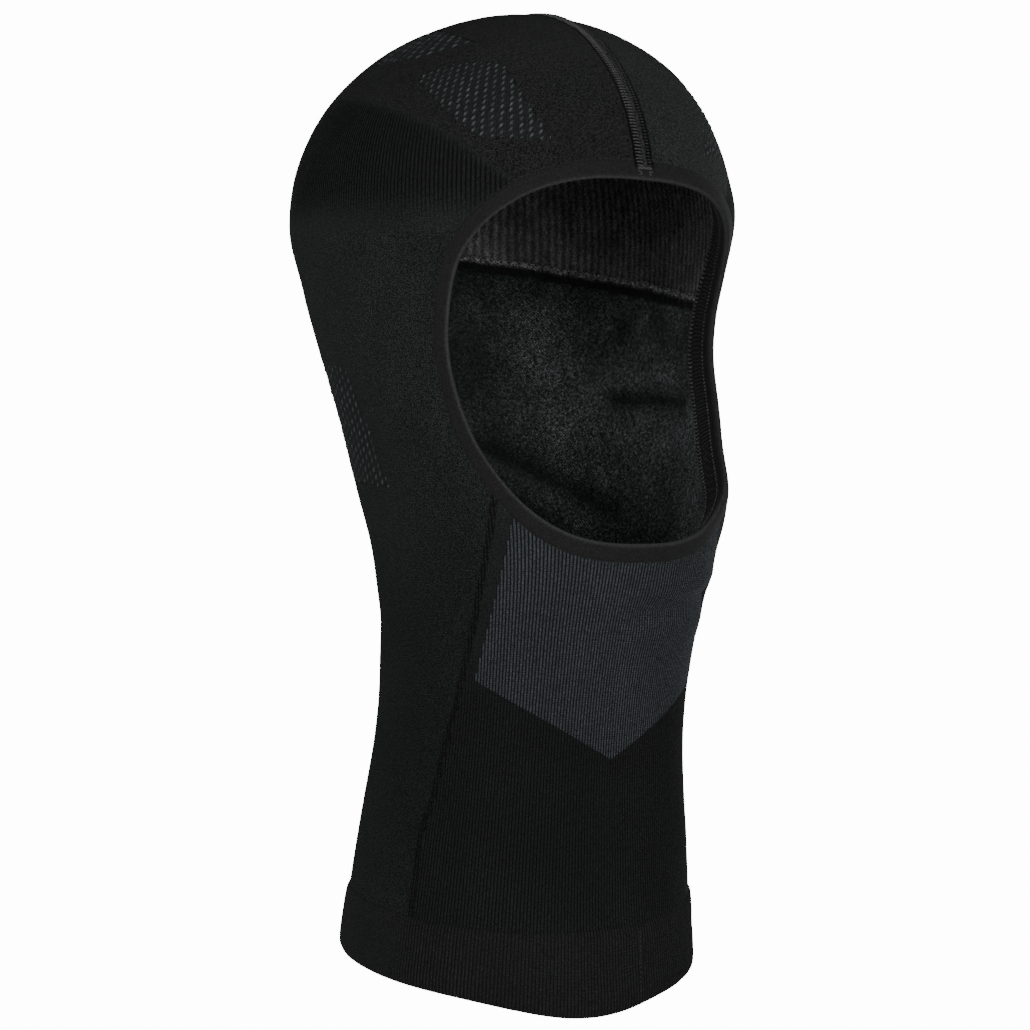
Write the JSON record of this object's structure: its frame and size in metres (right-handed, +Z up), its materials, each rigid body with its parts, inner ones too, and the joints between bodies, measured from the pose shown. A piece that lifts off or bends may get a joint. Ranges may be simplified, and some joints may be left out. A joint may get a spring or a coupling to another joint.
{
  "type": "balaclava",
  "caption": "Seamless-knit ski balaclava with a large face opening, mesh vents, ribbed chin panel, fleece lining and turned neck hem.",
  "frame": {"origin": "middle of the wearer's head at its widest level, on the plane of symmetry, where the head holds the garment up", "axes": "+Z up along the worn garment, -Y out of the face opening, +X towards the wearer's left"},
  "size_m": [0.1588, 0.1877, 0.373],
  "materials": {
    "black_knit": "matt seamless jersey knit, plain face, very fine diagonal grain",
    "black_rib": "matt fine vertical rib knit, wales about 1.8 mm apart",
    "mesh_knit": "open pointelle mesh knit with staggered lighter eyelet stitches",
    "grey_rib": "two-tone grey on black vertical rib, wales about 1.6 mm apart",
    "binding": "smooth folded elastic binding with a slight sheen",
    "fleece_lining": "brushed melange fleece face, fully matt",
    "sewing_thread": "twisted polyester thread with a low sheen"
  },
  "bodies": {
    "root": {"crown_panel_right": "black_knit", "crown_panel_left": "black_knit", "crown_front_mesh_right": "mesh_knit", "crown_front_mesh_left": "mesh_knit", "crown_back_mesh_right": "mesh_knit", "crown_back_mesh_left": "mesh_knit", "head_rib_zone": "black_rib", "side_and_nape_panel": "black_knit", "nape_mesh_right": "mesh_knit", "nape_mesh_left": "mesh_knit", "chin_panel": "grey_rib", "neck_front_rib": "black_rib", "neck_ladder_strip_right": "black_knit", "neck_ladder_strip_left": "black_knit", "face_binding": "binding", "binding_stitch_row_front": "sewing_thread", "binding_stitch_row_back": "sewing_thread", "inner_lining": "fleece_lining", "lining_top_bead": "fleece_lining", "neck_hem": "black_knit", "hem_join_seam": "sewing_thread", "crown_seam_welt": "black_knit", "crown_seam_ladder_stitch": "sewing_thread", "crown_seam_edge_stitch": "sewing_thread", "brow_bar_tack": "sewing_thread"}
  },
  "joints": []
}
